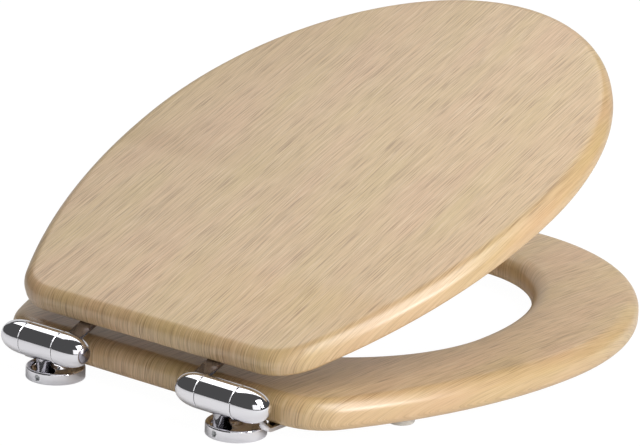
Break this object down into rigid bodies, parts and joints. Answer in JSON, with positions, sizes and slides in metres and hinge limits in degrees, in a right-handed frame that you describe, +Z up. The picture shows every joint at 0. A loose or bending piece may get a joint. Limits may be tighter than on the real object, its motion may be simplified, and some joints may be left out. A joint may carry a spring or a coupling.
{
  "type": "toilet seat",
  "caption": "Oak-finish toilet seat with ring and lid of pressed board on chromed slow-close barrel hinges, lid and ring hinged on one axis, fixed to the pan through round feet.",
  "frame": {"origin": "midway between the two fixing holes, on the plane that the feet and pads stand on", "axes": "+X along the hinge line, +Y towards the front of the seat, +Z up"},
  "size_m": [0.37, 0.4573, 0.204],
  "materials": {
    "oak": "satin lacquer",
    "chrome": "polished",
    "steel": "zinc plated",
    "pad": "matte moulded",
    "plastic": "moulded"
  },
  "bodies": {
    "base": {"foot_left": "chrome", "foot_right": "chrome", "set_screws": "steel", "post_left": "chrome", "post_right": "chrome", "damper_left": "plastic", "damper_right": "plastic"},
    "seat": {"seat_ring": "oak", "seat_knuckle_left": "chrome", "seat_knuckle_right": "chrome", "hinge_pin_right": "steel", "bush_left": "plastic", "seat_buffer_rear_left": "pad", "seat_buffer_rear_right": "pad", "seat_buffer_front_left": "pad", "seat_buffer_front_right": "pad", "seat_buffer_screws": "steel", "seat_leaf_screws": "steel"},
    "lid": {"lid": "oak", "lid_knuckle_left": "chrome", "lid_knuckle_right": "chrome", "hinge_pin_left": "steel", "bush_right": "plastic", "end_cap_left": "chrome", "end_cap_right": "chrome", "lid_buffer_left": "pad", "lid_buffer_right": "pad", "lid_buffer_screws": "steel", "lid_leaf_screws": "steel"}
  },
  "joints": [
    {"name": "seat_hinge", "type": "hinge", "parent": "base", "child": "seat", "pos_m": [0, -0.012, 0.0254], "axis": [1, 0, 0], "range_deg": [0, 93]},
    {"name": "lid_hinge", "type": "hinge", "parent": "seat", "child": "lid", "pos_m": [0, -0.012, 0.0254], "axis": [1, 0, 0], "range_deg": [-21.2, 85]}
  ]
}
